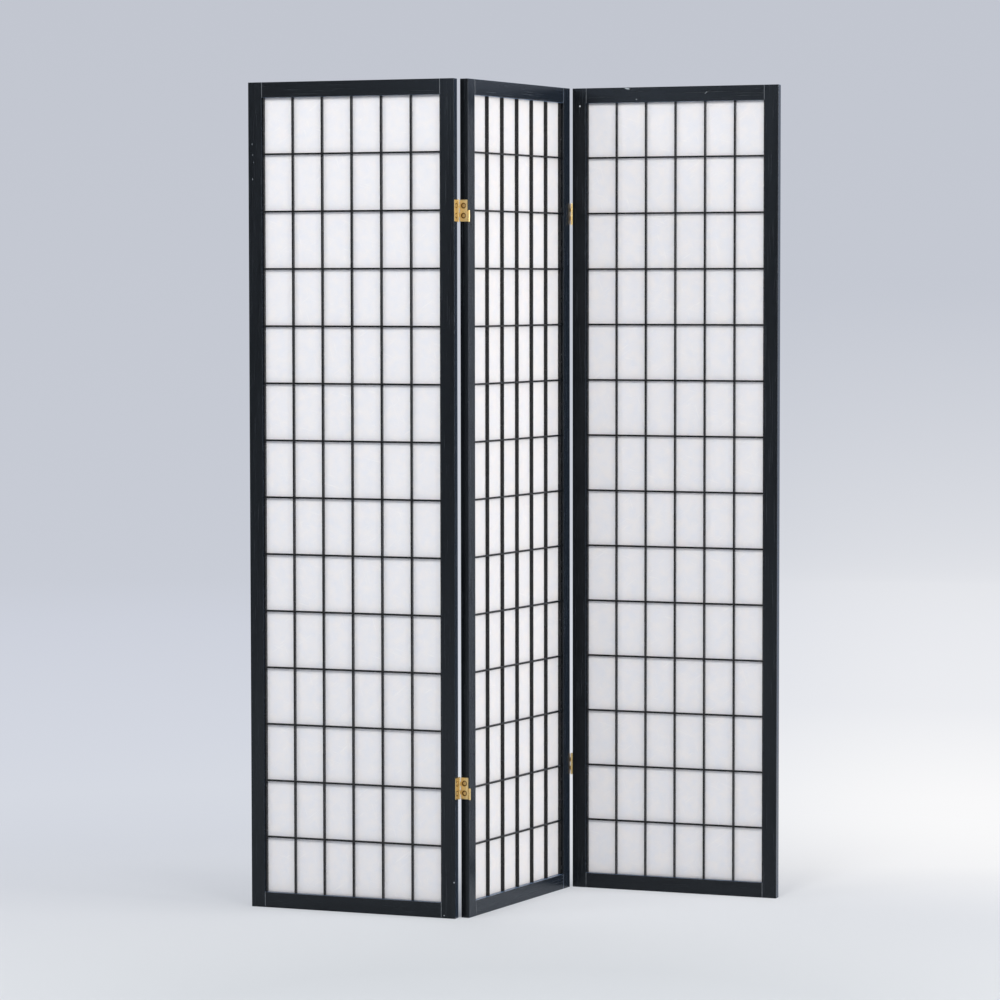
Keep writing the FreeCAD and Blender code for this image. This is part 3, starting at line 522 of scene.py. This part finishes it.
def seamless_paper():
    """Pale matt paper: seen colour = ramp of the run, a painted shading, made paler by the painted
    pool of light.

    pool = exp(-((x / (y + apex) - aside) / width)^2) * another ramp of the run, behind the screen
    only.  Camera rays see that colour far off, and mirror-like rays see it behind the screen; near
    the screen the paper is lit and takes shadows.
    """
    material, tree = new_material("seamless_backdrop")
    run = add(tree, "Attribute", attribute_name="run").outputs["Fac"]
    place = add(tree, "SeparateXYZ", {0: add(tree, "TexCoord").outputs["Object"]}).outputs
    along = add(tree, "MapRange", {"Value": run, **RUN_LEVELS})
    ramp, rise = (add(tree, "ValToRGB", {0: along}) for _ in range(2))
    for end, code in zip(ramp.color_ramp.elements, BACKDROP_ENDS):
        end.color = linear(code)
    for end in rise.color_ramp.elements:
        end.color = 0, 0, 0, 1
    for stop, code in BACKDROP_STOPS:
        ramp.color_ramp.elements.new(stop).color = linear(code)
    for stop, level in POOL_STOPS:
        rise.color_ramp.elements.new(stop).color = level, level, level, 1

    depth = add(tree, "Math", {0: place[1], 1: POOL_APEX}, operation="ADD")
    beam = add(tree, "Math", {0: place[0], 1: depth}, operation="DIVIDE")
    aside = add(tree, "Math", {0: beam, 1: POOL_ASIDE}, operation="SUBTRACT")
    aside = add(tree, "Math", {0: aside, 1: POOL_WIDTH}, operation="DIVIDE")
    square = add(tree, "Math", {0: aside, 1: aside}, operation="MULTIPLY")
    fall = add(tree, "Math", {0: square, 1: -1.0}, operation="MULTIPLY")
    fade = add(tree, "Math", {0: fall}, operation="EXPONENT")
    behind = add(tree, "MapRange", {"Value": place[1], **BEHIND_LEVELS})
    pool = add(tree, "Math", {0: fade, 1: rise}, operation="MULTIPLY")
    pool = add(tree, "Math", {0: pool, 1: behind}, operation="MULTIPLY")
    seen = add(tree, "Mix", {0: pool, 6: ramp.outputs[0], 7: linear(POOL_WHITE)},
               data_type="RGBA").outputs[2]
    to_back = add(tree, "MapRange", {"Value": run, **FLOOR_LEVELS})
    lit = add(tree, "Mix", {0: to_back, 6: linear(FLOOR_FRONT), 7: linear(FLOOR_BACK)},
              data_type="RGBA").outputs[2]

    ray = add(tree, "LightPath").outputs
    mirrored = add(tree, "Math", {0: ray["Is Glossy Ray"], 1: ray["Is Transmission Ray"]},
                   operation="MAXIMUM")
    mirrored = add(tree, "Math", {0: mirrored, 1: behind}, operation="MULTIPLY")
    by_eye = add(tree, "Math", {0: ray["Is Camera Ray"], 1: mirrored}, operation="MAXIMUM")
    far_off = add(tree, "MapRange", {"Value": run, **PAINTED_LEVELS},
                  interpolation_type="SMOOTHSTEP")
    shown = add(tree, "Math", {0: by_eye, 1: far_off}, operation="MULTIPLY")
    matt = add(tree, "BsdfDiffuse", {"Color": lit})
    painted = add(tree, "Emission", {"Color": seen, "Strength": 1.0})
    surface = add(tree, "MixShader", {0: shown, 1: matt, 2: painted})
    add(tree, "OutputMaterial", {"Surface": surface})
    return material


backdrop = bowl("studio_bowl")
backdrop.data.materials.append(seamless_paper())


# ---- Light -------------------------------------------------------------------------------------
# The room's own even light, a large soft lamp high on the left in front and a weaker one on the
# right, one low at the right side for the middle panel's face, a weak one near on the left, and a
# small cool card that only the right panel's top reflects.
room = bpy.data.worlds.new("room")
room.use_nodes = True
room.node_tree.nodes.clear()
air = add(room.node_tree, "Background", {"Color": linear("#eff3fc"), "Strength": 0.42})
add(room.node_tree, "OutputWorld", {"Surface": air})
bpy.context.scene.world = room


def soft_lamp(name, place, aim, size, power, code):
    """A rectangular area lamp of that power in watts at a place, its -Z axis pointing at aim."""
    lamp = bpy.data.lights.new(name, "AREA")
    lamp.shape = "RECTANGLE"
    lamp.size, lamp.size_y = size
    lamp.energy, lamp.color = power, linear(code)[:3]
    piece = bpy.data.objects.new(name, lamp)
    piece.location = place
    piece.rotation_euler = (Vector(aim) - Vector(place)).to_track_quat("-Z", "Y").to_euler()
    bpy.context.scene.collection.objects.link(piece)


soft_lamp("left_lamp", (-1.6, -5.2, 4.0), aim=(0.0, 0.0, 0.9), size=(1.6, 1.6),
          power=170, code="#fffdfa")
soft_lamp("right_lamp", (2.6, -4.8, 3.8), aim=(0.0, 0.0, 0.9), size=(1.6, 1.6),
          power=60, code="#fffdfa")
soft_lamp("side_lamp", (5.2, -1.8, 2.1), aim=(0.0, 0.0, 0.8), size=(2.4, 2.6),
          power=192, code="#fffaf4")
soft_lamp("near_left_lamp", (-3.4, -1.7, 3.4), aim=(-0.3, 0.0, 0.9), size=(1.2, 1.6),
          power=29, code="#fffdfa")
soft_lamp("high_card", (-2.28, -3.0, 2.2), aim=(0.35, 0.0, 1.6), size=(0.5, 0.55),
          power=2.3, code="#e2edff")


# ---- Camera ------------------------------------------------------------------------------------
# It stands 8.3 m in front at eye height with a long lens and looks slightly down, as the camera
# fitted to the photo does.
SENSOR, LENS_IN_SENSORS = 36, 3.8017
CAMERA_PLACE = 0.0117, -8.2653, 1.3503
YAW, PITCH, ROLL = np.radians(-0.332), np.radians(3.246), np.radians(-0.064)
VIEW_END = 60  # past the far wall
ahead = Vector((np.sin(YAW) * np.cos(PITCH), np.cos(YAW) * np.cos(PITCH), -np.sin(PITCH)))
level = Vector((np.cos(YAW), -np.sin(YAW), 0))
upright = level.cross(ahead)
lens = bpy.data.cameras.new("camera")
lens.lens, lens.sensor_width, lens.clip_end = LENS_IN_SENSORS * SENSOR, SENSOR, VIEW_END
camera = bpy.data.objects.new("camera", lens)
camera.matrix_world = Matrix.Translation(CAMERA_PLACE) @ Matrix((
    np.cos(ROLL) * level + np.sin(ROLL) * upright,
    -np.sin(ROLL) * level + np.cos(ROLL) * upright, -ahead)).transposed().to_4x4()
bpy.context.scene.collection.objects.link(camera)
bpy.context.scene.camera = camera
bpy.context.scene.view_settings.view_transform = "Standard"
